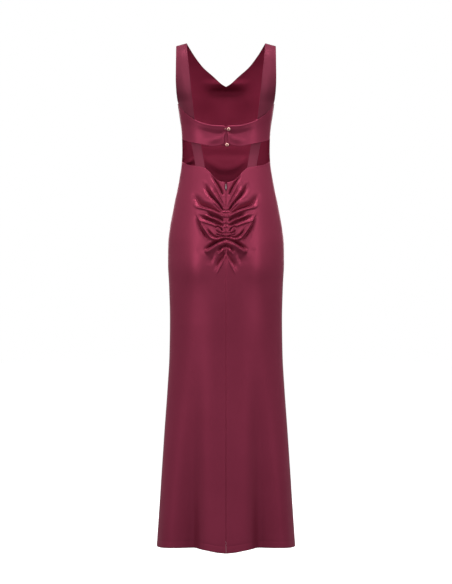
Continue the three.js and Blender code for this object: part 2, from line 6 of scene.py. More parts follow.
import bpy
import numpy as np
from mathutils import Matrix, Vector


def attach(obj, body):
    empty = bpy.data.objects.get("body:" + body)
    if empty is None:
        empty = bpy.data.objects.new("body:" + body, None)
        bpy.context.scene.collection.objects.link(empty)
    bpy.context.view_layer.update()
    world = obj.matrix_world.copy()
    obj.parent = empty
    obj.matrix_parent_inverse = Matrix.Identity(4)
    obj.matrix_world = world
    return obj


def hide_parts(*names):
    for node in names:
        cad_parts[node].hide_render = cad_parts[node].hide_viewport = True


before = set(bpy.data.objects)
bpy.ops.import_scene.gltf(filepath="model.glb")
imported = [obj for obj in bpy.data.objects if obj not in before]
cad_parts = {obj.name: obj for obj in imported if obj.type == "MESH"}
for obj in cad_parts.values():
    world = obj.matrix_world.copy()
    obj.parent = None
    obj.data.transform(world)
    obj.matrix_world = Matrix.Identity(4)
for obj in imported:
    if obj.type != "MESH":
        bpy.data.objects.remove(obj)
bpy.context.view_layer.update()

# ---- sizes -----------------------------------------------------------------------------------
THIN = 1.0  # cloth of the front and the skirt
DOUBLE = 1.5  # bagged-out band and straps
SEAM = 0.06  # the cloth nearly meets at its seams
UNDER = 2.6
LAP = 13
SQUARE = {"front": 2.4, "back": 2.2}
STRAP_IN, STRAP_OUT, SHOULDER_DROP = 113.7, 144.4, 8.3
V_DEPTH = -116
UNDERARM = -176.5
BAND_SIDE = -279.5
SKIRT_SIDE = -343
HEM = -1457

# z, half width of the front half, half width of the back half, depth of the front, of the back
SECTIONS = [
    (0, 182, 192, 0, 0),
    (-3, 181, 191, 14, 15),
    (-8, 180, 190, 25, 27),
    (-15, 177, 188, 36, 38),
    (-25, 173, 186, 48, 49),
    (-40, 166, 183, 62, 61),
    (-60, 158, 178, 80, 71),
    (-85, 151, 174, 95, 79),
    (-115, 146, 166, 109, 86),
    (-145, 142.5, 155, 117, 90),
    (-176.5, 139.3, 139.3, 119, 91),
    (-212, 133.9, 133.9, 116, 86),
    (-247, 129.2, 129.2, 109, 79),
    (-282, 127.4, 127.4, 100, 75),
    (-317, 127, 127, 91, 74),
    (-352, 129, 129, 84.5, 80),
    (-387, 134, 134, 83.5, 93),
    (-421, 140.3, 140.3, 87, 107),
    (-456, 147.8, 147.8, 92, 119),
    (-491, 154.6, 154.6, 96, 127),
    (-537, 163, 163, 99.5, 133),
    (-584, 167.8, 167.8, 101, 138.5),
    (-640, 168.2, 168.2, 101, 141.5),
    (-700, 165.2, 165.2, 100, 140),
    (-800, 162.6, 162.6, 99, 136),
    (-900, 164, 164, 100, 133),
    (-1000, 169.6, 169.6, 104, 132.5),
    (-1117, 178, 178, 112, 134.5),
    (-1233, 185.8, 185.8, 122, 138),
    (-1349, 193.6, 193.6, 134, 143),
    (-1457, 201, 201, 145, 149),
]
# edges of the pieces, x and z
NECK = [(113.7, 0), (90.7, -34.4), (66.7, -63.4), (42.1, -84.2), (17.7, -104), (0, V_DEPTH)]
ARMHOLE_FRONT = [
    (STRAP_OUT, -SHOULDER_DROP), (138.5, -30), (131.5, -60), (127, -92), (126.2, -120),
    (128.6, -141), (132.3, -156), (136.2, -167.5), (138.8, -174.5), (139.3, UNDERARM),
]
STRAP_OUTER = [
    (STRAP_OUT, -SHOULDER_DROP), (144.6, -60), (145, -108), (143.6, -143), (141.8, -160),
    (140.3, -170), (137.6, -178), (134.2, -188), (131, -200),
]
STRAP_INNER = [(STRAP_IN, 0), (109.9, -47), (105.2, -86.6), (99.4, -144.9), (92.8, -202.5), (87.5, -250)]
BAND_TOP = [
    (0, -248.2), (7.8, -244.6), (36.4, -243), (65, -236.7), (89, -226.4), (108.3, -213),
    (125.3, -197.6), (136, -181), (139.3, UNDERARM),
]
BAND_BOTTOM = [
    (0, -296.6), (8, -297.2), (17.2, -299.6), (28, -302.2), (40.2, -302.8), (71.8, -297), (103.7, -289.9), (120, -284),
    (127.4, BAND_SIDE),
]
BAND_END = [(1.2, -240), (1.5, -258), (3, -266), (5.2, -276), (6.2, -290), (5.6, -305)]
STAND_BOTTOM = -301.6
LOWER_STRAP = [(91, -280), (88, -293), (76, -362), (74, -376)]
LOWER_STRAP_TOP, LOWER_STRAP_END, LOWER_STRAP_HALF = -281, -372.5, 14
SKIRT_TOP = [
    (0, -407.2), (19, -403), (36.2, -389.6), (49.5, -374.2), (62.1, -364.4), (90, -358.2),
    (110, -354.4), (125, -346), (129, SKIRT_SIDE),
]
HEM_LINE = [
    (0, HEM - 6.5), (24, HEM - 4.5), (58, HEM + 1), (103, HEM + 6), (150, HEM + 3.5),
    (185, HEM + 1), (202, HEM),
]
NOTCH_TOP, NOTCH_BOTTOM, NOTCH_HALF = -409, -434, 2.7

# Gathers of the centre back seam. Each is a trough (below zero) or a ridge: height, reach above
# and below its line, the shares of its line over which it fades in at the far end and out at the
# seam, and the line itself from the far end to the seam, x and z.
GATHERS = [
    ( -4.5,  3.4,  3.4, 0.35, 0.10, [(44.4, -387.2), (31.9, -399.1), (23.1, -412.5), (16.5, -424.5), (9.7, -440.7)]),
    (  1.6,  2.4,  2.4, 0.30, 0.30, [(41.6, -402.0), (29.6, -419.6), (20.5, -438.4), (10.3, -459.5)]),
    ( -2.4,  3.0,  3.0, 0.40, 0.15, [(44.4, -409.7), (34.2, -426.8), (22.8, -445.3), (13.1, -463.8), (6.8, -478.0)]),
    (  2.0,  3.4,  3.0, 0.35, 0.20, [(53.0, -411.1), (41.0, -432.4), (29.0, -452.1), (15.9, -470.9), (8.5, -482.3)]),
    ( -6.5,  4.6,  4.4, 0.55, 0.08, [(64.1, -404.0), (55.8, -423.9), (45.0, -441.0), (30.2, -457.8), (18.8, -470.9), (9.1, -485.7)]),
    ( -2.6,  9.0,  9.0, 0.50, 0.50, [(64.1, -396.9), (59.8, -419.6), (52.7, -436.7), (44.1, -448.1)]),
    ( -1.9,  1.9,  1.9, 0.30, 0.15, [(37.6, -468.0), (27.3, -477.2), (18.2, -486.3), (9.7, -493.7)]),
    ( -5.6,  9.5,  3.4, 0.50, 0.12, [(95.4, -439.6), (84.9, -457.8), (72.9, -470.9), (56.4, -476.6), (39.3, -482.9), (23.9, -490.3), (9.7, -496.5)]),
    ( -3.0, 13.0,  9.0, 0.50, 0.50, [(96.8, -431.0), (86.9, -451.0), (74.0, -466.6), (58.4, -473.7)]),
    (  3.4,  3.4,  3.4, 0.35, 0.20, [(95.7, -466.3), (82.6, -479.4), (63.8, -484.0), (44.4, -489.7), (22.8, -499.4), (11.4, -505.1)]),
    ( -5.2,  3.6,  3.4, 0.35, 0.10, [(56.4, -493.1), (43.9, -500.5), (30.8, -506.2), (19.9, -510.2), (8.5, -518.2)]),
    (  2.2,  2.6,  2.6, 0.35, 0.20, [(70.1, -496.0), (53.0, -505.6), (34.7, -513.0), (18.8, -519.3)]),
    ( -5.2,  3.6,  3.2, 0.45, 0.10, [(79.7, -497.7), (69.5, -506.8), (54.7, -512.5), (38.7, -518.7), (23.4, -526.1), (9.1, -531.8)]),
    (  2.8,  3.0,  3.0, 0.40, 0.20, [(85.4, -506.8), (72.3, -518.7), (55.2, -523.9), (37.0, -530.7), (19.9, -539.2)]),
    ( -3.4,  2.2,  2.0, 0.20, 0.10, [(32.5, -538.7), (23.9, -535.3), (15.9, -539.2), (9.7, -547.8)]),
    ( -2.6,  1.7,  1.7, 0.25, 0.10, [(28.5, -546.1), (21.1, -551.2), (14.8, -554.0), (8.5, -553.5)]),
    ( -2.8,  1.6,  1.6, 0.25, 0.10, [(28.5, -557.5), (18.2, -559.2), (6.8, -561.5)]),
    ( -3.4,  2.6,  2.4, 0.35, 0.15, [(55.2, -536.4), (49.0, -547.8), (38.7, -559.2), (27.3, -565.4), (14.2, -563.7), (3.4, -562.6)]),
    ( -3.6,  6.0,  5.0, 0.45, 0.25, [(87.1, -499.4), (77.5, -525.0), (68.3, -544.9), (58.1, -560.9), (49.6, -571.1)]),
    (  4.4,  4.2,  4.2, 0.40, 0.25, [(87.7, -492.3), (78.0, -510.8), (67.2, -533.5), (54.1, -552.3), (39.9, -568.9), (22.8, -573.4)]),
    ( -5.8,  3.4,  3.6, 0.40, 0.10, [(63.8, -601.9), (51.3, -593.9), (37.6, -584.8), (25.1, -578.5), (13.1, -573.4), (1.7, -569.4)]),
    (  4.4,  3.6,  9.0, 0.16, 0.20, [(61.5, -609.3), (49.0, -603.6), (35.3, -595.1), (21.6, -586.5), (8.5, -580.8)]),
    ( -4.2,  2.6,  2.6, 0.45, 0.10, [(24.5, -608.2), (18.2, -600.2), (11.4, -593.9), (1.7, -590.5)]),
    (  2.2,  2.2,  2.2, 0.35, 0.20, [(21.6, -617.3), (14.8, -608.7), (6.8, -600.8)]),
    ( -3.2,  7.5,  3.0, 0.60, 0.10, [(35.6, -664.5), (27.9, -648.6), (18.8, -633.8), (10.3, -621.8), (3.4, -609.9)]),
    ( -2.4, 11.0,  7.0, 0.45, 0.45, [(45.6, -647.5), (41.0, -630.4), (34.2, -617.8)]),
    (  1.6,  1.8,  1.8, 0.50, 0.15, [(30.8, -675.9), (18.8, -654.3), (9.7, -636.1), (2.8, -620.7)]),
    ( -0.7,  7.0,  7.0, 0.50, 0.50, [(88.3, -599.0), (76.9, -603.0), (63.8, -610.4)]),
]
DEEPER = 1.9  # how much further the cloth's gathers go than the solid's
# where round the section each flute of the hem is, its reach and height there, and where it ends
FLUTES = {
    "back": [(0, 0.24, 9, -850), (0.56, 0.17, -38, -800), (0.82, 0.1, 7, -950)],
    "front": [(0, 0.2, -16, -900), (0.42, 0.15, 14, -850), (0.72, 0.13, -22, -900)],
}


# ---- curves ----------------------------------------------------------------------------------
class Curve:
    """A smooth curve without overshoot through a table's points."""

    def __init__(self, xs, ys):
        order = np.argsort(xs)
        self.x = np.asarray(xs, float)[order]
        self.y = np.asarray(ys, float)[order]
        s = np.diff(self.y) / np.diff(self.x)
        inner = np.zeros(len(s) - 1)
        same = s[:-1] * s[1:] > 0
        inner[same] = 2 * s[:-1][same] * s[1:][same] / (s[:-1][same] + s[1:][same])
        self.m = np.concatenate([[s[0]], inner, [s[-1]]])

    def __call__(self, t):
        v = np.clip(t, self.x[0], self.x[-1])
        i = np.clip(np.searchsorted(self.x, v, side="right") - 1, 0, len(self.x) - 2)
        h = self.x[i + 1] - self.x[i]
        s = (v - self.x[i]) / h
        return (
            (1 + 2 * s) * (1 - s) ** 2 * self.y[i]
            + s * (1 - s) ** 2 * h * self.m[i]
            + s * s * (3 - 2 * s) * self.y[i + 1]
            + s * s * (s - 1) * h * self.m[i + 1]
        )


def smooth(lo, hi, t):
    s = np.clip((np.asarray(t, float) - lo) / (hi - lo), 0, 1)
    return s * s * (3 - 2 * s)


def by_x(table):
    return Curve([p[0] for p in table], [p[1] for p in table])


def by_z(table):
    return Curve([p[1] for p in table], [p[0] for p in table])


def along(table):
    """x and z at a share of the length of a line."""
    n = len(table) - 1
    fx = Curve(range(n + 1), [p[0] for p in table])
    fz = Curve(range(n + 1), [p[1] for p in table])
    t = np.linspace(0, n, 12 * n + 1)
    x, z = fx(t), fz(t)
    at = np.concatenate([[0], np.cumsum(np.hypot(np.diff(x), np.diff(z)))])
    return Curve(at / at[-1], x), Curve(at / at[-1], z)


HALF = {
    "front": Curve([s[0] for s in SECTIONS], [s[1] for s in SECTIONS]),
    "back": Curve([s[0] for s in SECTIONS], [s[2] for s in SECTIONS]),
}
DEEP = {
    "front": Curve([s[0] for s in SECTIONS], [s[3] for s in SECTIONS]),
    "back": Curve([s[0] for s in SECTIONS], [s[4] for s in SECTIONS]),
}
SIGN = {"front": -1, "back": 1}


# ---- the form --------------------------------------------------------------------------------
def height_on(x, z):
    """The section that a point belongs to: the shoulders slope down outwards."""
    slope = SHOULDER_DROP * np.maximum(0, np.abs(x) - STRAP_IN) / (STRAP_OUT - STRAP_IN)
    return np.minimum(0, z + slope * smooth(-150, -40, z))


def depth(which, x, z):
    h = height_on(x, z)
    n = SQUARE[which]
    r = np.minimum(np.abs(x) / HALF[which](h), 1)
    return DEEP[which](h) * (1 - r**n) ** (1 / n)


def normal(which, x, y, z):
    """Outward normals of the smooth form."""
    n = SQUARE[which]

    def g(x, y, z):
        h = np.minimum(height_on(x, z), -0.4)
        return (np.abs(x) / HALF[which](h)) ** n + (
            np.abs(y) / np.maximum(DEEP[which](h), 4)
        ) ** n

    e = 0.5
    v = np.stack(
        [
            g(x + e, y, z) - g(x - e, y, z),
            g(x, y + e, z) - g(x, y - e, z),
            g(x, y, z + e) - g(x, y, z - e),
        ],
        -1,
    )
    return v / np.maximum(np.linalg.norm(v, axis=-1, keepdims=True), 1e-12)


def wander(x, z, size, seed):
    """Slow unevenness between -1 and 1, the same each time."""
    rng = np.random.default_rng(seed)
    total = np.zeros(np.broadcast(x, z).shape)
    for _ in range(7):
        a, b = rng.uniform(-1, 1, 2)
        phase = rng.uniform(0, 2 * math.pi)
        k = 2 * math.pi / size * rng.uniform(0.6, 1.5) / math.hypot(a, b)
        total += np.sin(k * (a * x + b * z) + phase)
    return total / 7


def inside(which, x, z):
    """One over the middle of a panel, nothing at its side seam, so that the seams stay closed."""
    return 1 - smooth(0.9, 0.995, np.abs(x) / HALF[which](z))


def line_field(x, z, points):
    """Distance of each point from a smooth line, share of the line, and side (above is +1)."""
    n = len(points) - 1
    t = np.linspace(0, n, 10 * n + 1)
    px = Curve(range(n + 1), [p[0] for p in points])(t)
    pz = Curve(range(n + 1), [p[1] for p in points])(t)
    best = np.full(x.shape, 1e9)
    share = np.zeros(x.shape)
    side = np.ones(x.shape)
    step = np.hypot(np.diff(px), np.diff(pz))
    run = np.concatenate([[0], np.cumsum(step)])
    for i in range(len(t) - 1):
        dx, dz = px[i + 1] - px[i], pz[i + 1] - pz[i]
        s = np.clip(((x - px[i]) * dx + (z - pz[i]) * dz) / step[i] ** 2, 0, 1)
        ex, ez = x - px[i] - s * dx, z - pz[i] - s * dz
        d = np.hypot(ex, ez)
        nearer = d < best
        best = np.where(nearer, d, best)
        share = np.where(nearer, (run[i] + s * step[i]) / run[-1], share)
        up = (-dz, dx) if dx >= 0 else (dz, -dx)
        side = np.where(nearer, np.sign(ex * up[0] + ez * up[1] + 1e-9), side)
    return best, share, side


def fold(x, z, height, above, below, fade_in, fade_out, points):
    d, share, side = line_field(x, z, points)
    reach = np.where(side > 0, above, below)
    ends = smooth(-0.02, fade_in, share) * (1 - 0.55 * smooth(1 - fade_out, 1.02, share))
    return height * ends * np.exp(-((d / reach) ** (1.5 if height < 0 else 2.0)))


def gathers(x, z):
    hand = 1 + 0.05 * np.sign(x)
    a = np.abs(x)
    near = (a < 130) & (z > -720) & (z < -360)
    total = np.zeros(x.shape)
    if near.any():
        ax, az = a[near], z[near]
        h = np.zeros(ax.shape)
        for k, row in enumerate(GATHERS):
            high, above, below = row[:3]
            uneven = 1 + (hand[near] - 1) * (-1) ** k
            h += fold(ax, az, high * (DEEPER if high < 0 else 1.5), above, below, *row[3:]) * uneven
            if high < -2.5 and min(above, below) < 6:  # a fine, deep line along the trough's bottom
                h += fold(ax, az, 0.9 * high, 1.5, 1.7, *row[3:]) * uneven
        # the seam is drawn in, with soft fullness either side of it
        on = smooth(-655, -600, az) * (1 - smooth(-470, -425, az))
        h -= 5.5 * on * np.exp(-((ax / 9) ** 2))
        h += 3.0 * on * np.exp(-(((ax - 26) / 17) ** 2))
        # small puckers where the thread draws the seam up
        pucker = np.sin((az + 5 * np.sin(az / 13) + 2 * np.sin(az / 5.3)) * 2 * math.pi / 10.5)
        drawn = smooth(-610, -585, az) * (1 - smooth(-500, -470, az))
        h += drawn * (1.5 * pucker - 1.2) * np.exp(-(((ax - 3.5) / 5) ** 2))
        total[near] = h
    return total


def flutes(which, x, z):
    share = np.abs(x) / HALF[which](z)
    total = np.zeros(x.shape)
    for at, reach, high, start in FLUTES[which]:
        grow = np.clip((start - z) / (start - HEM), 0, 1) ** 1.6
        total += high * grow * np.exp(-(((share - at) / reach) ** 2))
    return total * (1 - smooth(0.9, 1, share))


def bust(x, z):
    return 9 * np.exp(-(((np.abs(x) - 70) ** 2 + (z + 205) ** 2) / 46**2))


def surface(which, x, z, lift):
    """Points of the form's outside, moved out by lift along its normals."""
    y = SIGN[which] * depth(which, x, z)
    p = np.stack([x, y, z], -1) + normal(which, x, y, z) * lift[..., None]
    # at the side seam the two panels' edges slide along the form until they meet
    p[..., 1] += SIGN[which] * (SEAM / 2 - 0.25 * smooth(0.9995, 1, np.abs(x) / HALF[which](z)))
    return p


# ---- cloth -----------------------------------------------------------------------------------
def mesh(name, points, faces, material_of_face, materials, uv=None, smooth_shade=True):
    m = bpy.data.meshes.new(name)
    m.from_pydata((np.asarray(points) / 1000).tolist(), [], [list(f) for f in faces])
    for material in materials:
        m.materials.append(material)
    m.polygons.foreach_set("material_index", np.asarray(material_of_face, np.int32))
    m.polygons.foreach_set("use_smooth", np.full(len(faces), smooth_shade))
    if uv is not None:
        layer = m.uv_layers.new(name="cloth")
        loops = np.concatenate([np.asarray(f) for f in faces])
        layer.data.foreach_set("uv", np.asarray(uv, float)[loops].ravel())
    m.update()
    m.validate()
    o = bpy.data.objects.new(name, m)
    bpy.context.scene.collection.objects.link(o)
    return o


def vertex_normals(points, quads):
    a = points[quads]
    n = np.cross(a[:, 2] - a[:, 0], a[:, 3] - a[:, 1])
    out = np.zeros_like(points)
    for k in range(4):
        np.add.at(out, quads[:, k], n)
    return out / np.maximum(np.linalg.norm(out, axis=1, keepdims=True), 1e-12)


def cloth(name, grids, thick, materials, seam_x=None):
    """A thin wall with its outside on the grids of points, joined where the grids meet."""
    points, quads, uvs, start = [], [], [], 0
    for g in grids:
        r, c = g.shape[:2]
        ids = np.arange(r * c).reshape(r, c) + start
        q = np.stack([ids[:-1, :-1], ids[:-1, 1:], ids[1:, 1:], ids[1:, :-1]], -1).reshape(-1, 4)
        flat = g.reshape(-1, 3)
        a = flat[q - start]
        n = np.cross(a[:, 2] - a[:, 0], a[:, 3] - a[:, 1])
        away = np.stack([a[:, 0, 0] * 0.25, a[:, 0, 1], np.zeros(len(a))], 1)
        if (n * away).sum() < 0:
            q = q[:, ::-1]
        across = np.zeros((r, c))
        across[:, 1:] = np.cumsum(np.linalg.norm(np.diff(g, axis=1), axis=2), axis=1)
        down = np.zeros((r, c))
        down[1:] = np.cumsum(np.linalg.norm(np.diff(g, axis=0), axis=2), axis=0)
        uvs.append(np.stack([across, -down], -1).reshape(-1, 2) / 1000)
        points.append(flat)
        quads.append(q)
        start += r * c
    points, quads, uvs = np.concatenate(points), np.concatenate(quads), np.concatenate(uvs)
    _, first, back = np.unique(
        np.round(points * 50).astype(np.int64), axis=0, return_index=True, return_inverse=True
    )
    back = back.reshape(-1)
    points, uvs, quads = points[first], uvs[first], back[quads]
    distinct = np.array([len(set(q)) == 4 for q in quads])
    quads = quads[distinct]
    normals = vertex_normals(points, quads)
    normals[np.abs(points[:, 1]) < SEAM, 1] = 0
    if seam_x is not None:
        normals[seam_x(points), 0] = 0
    normals /= np.maximum(np.linalg.norm(normals, axis=1, keepdims=True), 1e-12)
    inner = points - normals * thick
    n = len(points)
    edges = np.concatenate([quads[:, [k, (k + 1) % 4]] for k in range(4)])
    lo, hi = edges.min(1), edges.max(1)
    _, index, count = np.unique(lo * n + hi, return_index=True, return_counts=True)
    rim = edges[index[count == 1]]
    faces = np.concatenate(
        [quads, quads[:, ::-1] + n, np.stack([rim[:, 1], rim[:, 0], rim[:, 0] + n, rim[:, 1] + n], 1)]
    )
    slots = np.concatenate([np.zeros(len(quads)), np.ones(len(quads)), np.zeros(len(rim))])
    return mesh(
        name, np.concatenate([points, inner]), faces, slots, materials, np.concatenate([uvs, uvs])
    )


def run_of(grid, axis):
    """Distance along a grid's lines from their first point."""
    d = np.zeros(grid.shape[:2])
    step = np.linalg.norm(np.diff(grid, axis=axis), axis=2)
    if axis == 0:
        d[1:] = np.cumsum(step, axis=0)
    else:
        d[:, 1:] = np.cumsum(step, axis=1)
    return d


def turned(d, wide=1.3, high=0.5):
    """The small roll of a turned edge, d away from the edge."""
    return high * np.exp(-(((d - wide) / wide) ** 2)) - 0.9 * high * np.exp(-((d / 0.45) ** 2))


def rolled(d, reach=2.7, high=1.5, groove=0.5):
    """A bagged-out edge, d away from it: it rolls in over the seam, with a soft groove below."""
    return -high * (1 - np.clip(d / reach, 0, 1)) ** 2 - groove * np.exp(-(((d - 7) / 2.8) ** 2))


def steps(total, fine_start, mid, fine_end, edge=(0.4, 0.9, 1.5, 2.3, 3.4)):
    """Places along a length, closer together at the ends where an edge is turned."""
    head = [0, *edge] if fine_start else [0]
    tail = [total - e for e in reversed([0, *edge])] if fine_end else [total]
    lo, hi = head[-1], tail[0]
    n = max(1, round((hi - lo) / mid))
    return np.array([*head, *np.linspace(lo, hi, n + 1)[1:-1], *tail])


def notch(z):
    return (
        NOTCH_HALF
        * smooth(NOTCH_BOTTOM, NOTCH_BOTTOM + 5, z)
        * (1 - smooth(NOTCH_TOP, NOTCH_TOP + 2, z))
    )


def skirt_grid(hand):
    top, hem = by_x(SKIRT_TOP), by_x(HEM_LINE)
    # columns, as shares of the half width: close at the gathered seam, wider at the hip
    shares = [0, 0.4, 0.9, 1.5, 2.3, 3.2]
    while shares[-1] < 72:
        shares.append(shares[-1] + 1.12)
    while shares[-1] < 112:
        shares.append(shares[-1] + 2.1)
    shares = np.array(shares) / 165
    angle = np.linspace(math.acos(shares[-1] ** (SQUARE["back"] / 2)), 0, 34)[1:]
    shares = np.concatenate([shares, np.cos(angle) ** (2 / SQUARE["back"])])
    side = np.array([0.99975, 0.9999])
    shares = np.unique(np.concatenate([shares, side]))
    rows = steps(280, True, 1.38, False)
    rest = np.linspace(0, 1, 88)[1:] ** 1.15
    rows = np.concatenate([rows, 280 + rest * (1082 - 280)])
    rows = np.unique(np.concatenate([rows, 1082 + np.array([-0.5, -1.1, -1.9, -3, 17.5, 18.6, 19.8, 21, 22]) * 1]))
    rows = np.concatenate([rows[rows <= 1082], [1100 - e for e in (17, 16, 15, 12, 9, 6, 3.2, 2, 1.2, 0.5, 0)]])
    w = rows / 1100
    s, w = np.meshgrid(shares, w)
    x = 150 * s
    for _ in range(14):
        z = top(x) + (hem(x) - top(x)) * w
        x = HALF["back"](z) * s
    edge = SEAM / 2 + notch(z)
    x = edge + s * (HALF["back"](z) - edge)
    x[:, -1] = HALF["back"](z[:, -1])
    flat = surface("back", x, z, np.zeros(x.shape))
    down = run_of(flat, 0)
    up = run_of(flat[::-1], 0)[::-1]
    from_side = run_of(flat[:, ::-1], 1)[:, ::-1]
    lift = gathers(hand * x, z) + flutes("back", x, z)
    # seams: the cloth turns in at each, and pulls a little along it
    lift -= 1.1 * np.exp(-(((x - edge) / 1.1) ** 2))
    lift += 0.35 * np.exp(-(((x - edge - 4) / 3) ** 2))
    lift += 0.35 * wander(0 * x, z, 34, 5) * np.exp(-((x / 7) ** 2)) * smooth(-640, -700, z)
    lift -= 0.7 * np.exp(-((from_side / 1.1) ** 2))
    lift += rolled(down, 2.9, 2.1, 0.3 * smooth(8, 30, x))
    # the hem is turned up and blind stitched
    lift -= 0.22 * np.exp(-(((up - 19) / 1.2) ** 2)) + 0.6 * np.exp(-((up / 0.6) ** 2))
    # slow unevenness of hanging cloth, and drag lines under the hips
    soft = smooth(-380, -460, z) * inside("back", x, z)
    lift += 0.9 * soft * wander(hand * x, z * 0.35, 130, 11)
    lift += 1.1 * soft * smooth(-650, -800, z) * wander(hand * x * 1.6, z * 0.12, 120, 17)
    lift += 5.5 * np.exp(-(((x - 88) / 36) ** 2)) * np.exp(-(((z + 650) / 52) ** 2))
    return surface("back", x, z, lift)


def mirrored(grid):
    g = grid.copy()
    g[..., 0] *= -1
    return g


def front_grid(hand):
    neck_x, neck_z = along(NECK)
    arm_x, arm_z = along(ARMHOLE_FRONT)
    n = SQUARE["front"]
    u = np.unique(np.concatenate([np.linspace(0, 1, 52), [0.004, 0.012, 0.99, 0.996]]))
    c = np.maximum(np.cos(math.pi / 2 * u), 0) ** (2 / n)
    c[-1] = 0
    v = np.unique(np.concatenate([[0, 0.004, 0.01, 0.02, 0.035], np.linspace(0.05, 1, 58)]))[:, None]
    xo, zo, xi, zi = arm_x(v), arm_z(v), neck_x(v), neck_z(v)
    x1, z1 = xo * c + xi * (1 - c), zo * c + zi * (1 - c)
    w = np.concatenate([steps(420, False, 3.6, False)[1:], 420 + np.linspace(0, 1, 124)[1:] * 838])
    w = np.concatenate([w, 1280 - np.array([20.4, 19.2, 18, 16, 12, 8, 4, 2.4, 1.4, 0.6, 0])])[:, None] / 1280
    zs = UNDERARM + (HEM - UNDERARM) * w
    zc = V_DEPTH + (HEM + 2 - V_DEPTH) * w
    z2 = zs * c + zc * (1 - c)
    x2 = HALF["front"](z2) * c
    x, z = np.concatenate([x1, x2]), np.concatenate([z1, z2])
    upper = np.zeros(x.shape, bool)
    upper[: len(v)] = True
    flat = surface("front", x, z, np.zeros(x.shape))
    from_arm = run_of(flat, 1)
    from_neck = run_of(flat[:, ::-1], 1)[:, ::-1]
    up = run_of(flat[::-1], 0)[::-1]
    lift = flutes("front", x, z) * (z < -700) + bust(x, z)
    # the neckline and the armholes are turned in over a narrow facing
    edge_n = np.where(upper, from_neck, 1e6)
    below_v = np.hypot(x, z - V_DEPTH)
    lift += np.where(upper, turned(edge_n, 1.4, 0.7) * smooth(0, 10, edge_n + below_v), 0)
    lift += np.where(upper, turned(from_arm, 1.4, 0.6), 0)
    lift -= np.where(upper, 0, 0.7 * np.exp(-((from_arm / 1.1) ** 2)))
    # soft fold under the point of the V, where the neckline pulls the cloth in above the bust
    lift += 8 * np.exp(-(((z + 132) / np.where(z > -132, 7.5, 25)) ** 2)) * np.exp(-((x / 49) ** 4))
    lift -= 7.5 * np.exp(-(((z + 108) / np.where(z > -108, 10, 12)) ** 2)) * np.exp(-((x / 62) ** 4))
    # drag lines from the bust to the waist and over the stomach
    lift += 2.2 * np.exp(-(((np.abs(x) - 52 - (z + 240) * 0.12) / 15) ** 2)) * np.exp(-(((z + 262) / 42) ** 2))
    lift -= 2.0 * np.exp(-((x / 26) ** 2)) * np.exp(-(((z + 205) / 38) ** 2))
    soft = inside("front", x, z)
    lift += 0.9 * soft * wander(hand * x, z * 0.4, 120, 23) * smooth(-120, -200, z)
    lift += 4 * np.exp(-(((z + 256) / 40) ** 2)) * np.exp(-((x / 70) ** 4))
    lift += 4 * np.exp(-(((z + 318) / 14) ** 2)) * np.exp(-((x / 72) ** 4))
    lift -= 4.6 * np.exp(-(((z - 0.010 * (x - 4) ** 2 + 361) / 12) ** 2)) * np.exp(-((x / 62) ** 4))
    lift += 1.3 * soft * smooth(-600, -800, z) * wander(hand * x * 1.6, z * 0.12, 120, 29)
    if hand > 0:  # a small crease by the left cut-out, inside at the waist
        lift -= fold(x, z, 4.2, 3.6, 4.2, 0.3, 0.3, [(88, -329), (98, -334), (108, -341), (118, -346)])
        lift += fold(x, z, 3.2, 4.6, 4.6, 0.3, 0.3, [(84, -347), (98, -349), (118, -350)])
    lift -= 0.22 * np.exp(-(((up - 19) / 1.2) ** 2)) + 0.6 * np.exp(-((up / 0.6) ** 2))
    return surface("front", x, z, lift)


def band_grid(hand):
    top, bottom, end = by_x(BAND_TOP), by_x(BAND_BOTTOM), by_z(BAND_END)
    w = (steps(58, True, 1.3, True) / 58)[:, None]
    a = np.linspace(0, math.pi / 2, 108)
    c = np.unique(np.concatenate([np.cos(a) ** (2 / SQUARE["back"]), [0.003, 0.007, 0.012, 0.018, 0.9999, 0.99975]]))[::-1]
    c[-1] = 0
    x = 130 * c + 0 * w
    for _ in range(14):
        z = top(x) + (bottom(x) - top(x)) * w
        x = end(z) + (HALF["back"](z) - end(z)) * c
    flat = surface("back", x, z, np.zeros(x.shape))
    from_top, from_bottom = run_of(flat, 0), run_of(flat[::-1], 0)[::-1]
    from_end = run_of(flat[:, ::-1], 1)[:, ::-1]
    from_side = run_of(flat, 1)
    lift = rolled(from_top, 2.8, 1.9, 0.25) + turned(from_bottom, 1.2, 0.45)
    lift += turned(from_end, 1.2, 0.5) * smooth(0, 6, from_top)
    lift -= 0.7 * np.exp(-((from_side / 1.1) ** 2))
    # the button draws the band into a hollow either side, with a ridge from it to the lower edge
    k = 1 + 0.06 * hand
    lift += k * fold(x, z, -3.9, 12, 11, 0.45, 0.2, [(88, -249), (70, -256), (54, -262), (38, -266), (24, -268), (13, -267), (5, -263)])
    lift += k * fold(x, z, -1.5, 2.6, 2.6, 0.5, 0.1, [(20, -266), (13, -266), (8, -264), (5, -261)])
    lift += k * fold(x, z, 1.8, 6, 8, 0.6, 0.35, [(66, -284), (44, -286), (26, -283), (14, -277), (6, -270)])
    lift += 0.45 * inside("back", x, z) * wander(hand * x, z, 42, 31)
    return surface("back", x, z, lift)


